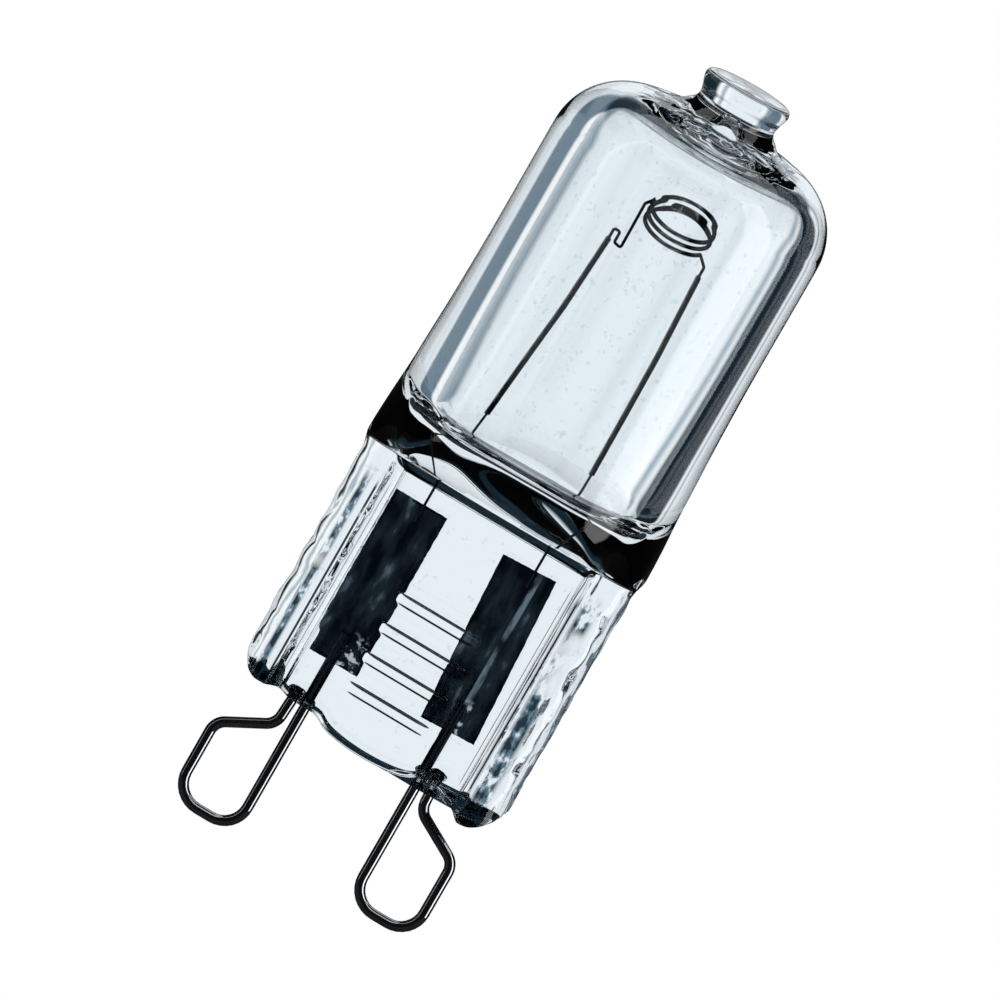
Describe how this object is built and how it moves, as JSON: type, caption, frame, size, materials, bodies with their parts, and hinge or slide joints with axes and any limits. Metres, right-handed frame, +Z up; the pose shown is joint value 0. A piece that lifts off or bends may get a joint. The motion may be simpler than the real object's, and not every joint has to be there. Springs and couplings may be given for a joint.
{
  "type": "halogen capsule bulb",
  "caption": "Clear capsule halogen bulb with a flat pinch seal, a sealed exhaust tip, a coiled filament and wire loop pins.",
  "frame": {"origin": "midway between the two pins, at the level where their straight legs leave the glass", "axes": "+Z up the lamp from the pins to the sealed tip, +X across the pins towards the right one, -Y to the front, where the ribs are"},
  "size_m": [0.0136, 0.013, 0.0399],
  "materials": {
    "quartz_glass": "clear fused silica, fire polished",
    "pin_wire": "bright drawn wire",
    "foil": "thin rolled molybdenum, satin, slightly mottled",
    "lead_wire": "drawn tungsten wire",
    "sleeve_wire": "close wound fine wire",
    "filament_wire": "coiled tungsten wire"
  },
  "bodies": {
    "root": {"envelope": "quartz_glass", "pin_left": "pin_wire", "pin_right": "pin_wire", "foil_left": "foil", "foil_right": "foil", "inner_lead_left": "lead_wire", "inner_lead_right": "lead_wire", "lead_sleeve_left": "sleeve_wire", "lead_sleeve_right": "sleeve_wire", "filament": "filament_wire"}
  },
  "joints": []
}
